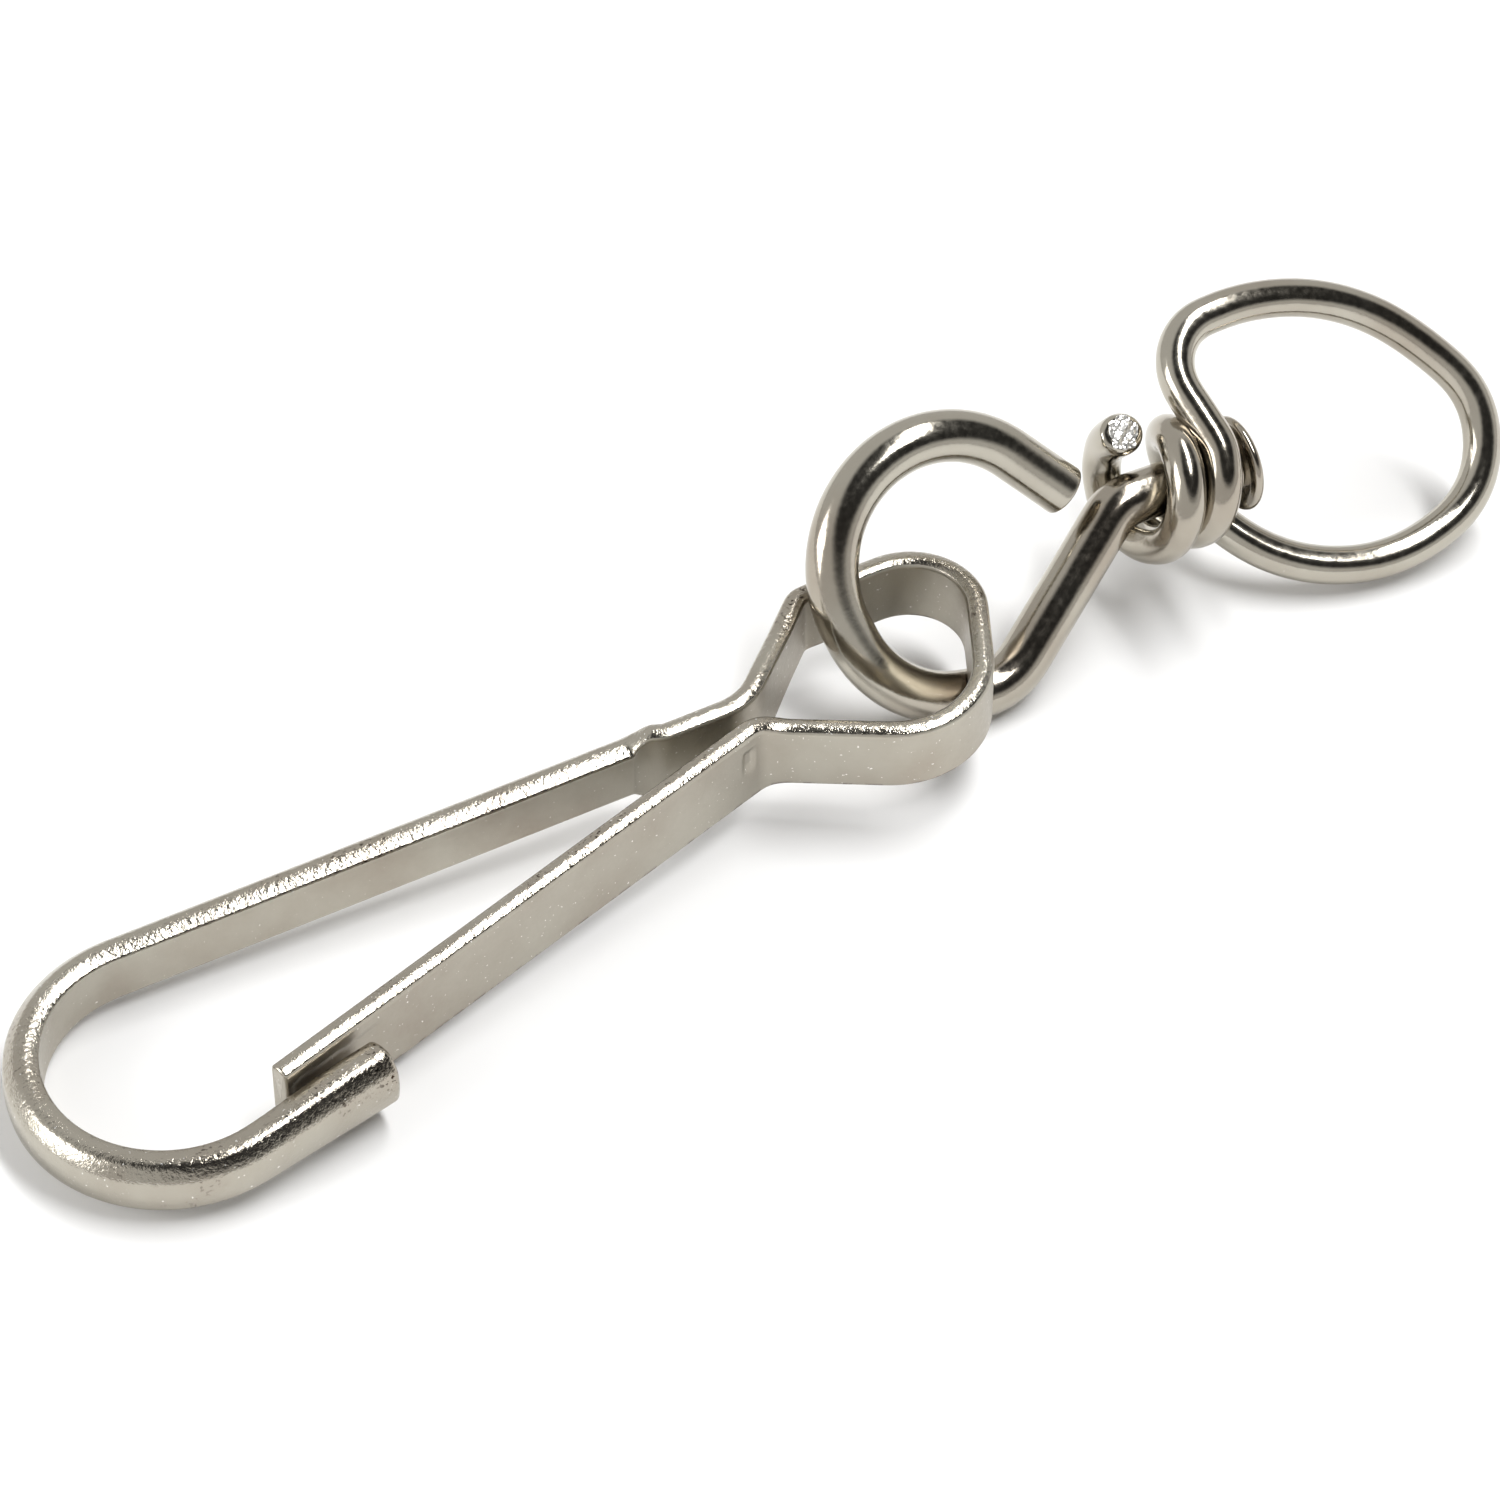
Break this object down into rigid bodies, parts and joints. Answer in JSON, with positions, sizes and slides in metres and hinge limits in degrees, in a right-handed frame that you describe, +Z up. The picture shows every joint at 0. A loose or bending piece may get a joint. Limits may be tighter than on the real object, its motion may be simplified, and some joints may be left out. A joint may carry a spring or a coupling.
{
  "type": "swivel snap hook",
  "caption": "Small bent-wire snap hook with a springy flat gate, a swivelling wire link and a wound wire ring for a strap or key",
  "frame": {"origin": "middle of the underside of the bounding box, on the surface the clip lies on", "axes": "+X from the hook's bow to the ring, +Y from the gate towards the spine, +Z up from the surface"},
  "size_m": [0.0522, 0.0142, 0.0082],
  "materials": {
    "nickel_strip": "nickel plate over flattened steel wire, satin flats and bright crowned edges",
    "nickel_wire": "bright nickel plate over round steel wire"
  },
  "bodies": {
    "hook": {"hook_wire": "nickel_strip"},
    "gate": {"gate_leaf": "nickel_strip"},
    "link": {"swivel_link": "nickel_wire"},
    "ring": {"ring_wire": "nickel_wire"}
  },
  "joints": [
    {"name": "gate_spring", "type": "hinge", "parent": "hook", "child": "gate", "pos_m": [-0.00116, 0.00035, 0.00249], "axis": [-0.0576, 0, 0.9983], "range_deg": [-15, 0], "stiffness_Nm_per_rad": 1.85, "springref_deg": 2},
    {"name": "link_swing", "type": "hinge", "parent": "hook", "child": "link", "pos_m": [0.00683, 0.00326, 0.00391], "axis": [0, -0.809, 0.5878], "range_deg": [-5, 85]},
    {"name": "ring_swivel", "type": "hinge", "parent": "link", "child": "ring", "pos_m": [0.014, 0.00346, 0.00418], "axis": [1, 0, 0], "continuous": true}
  ]
}
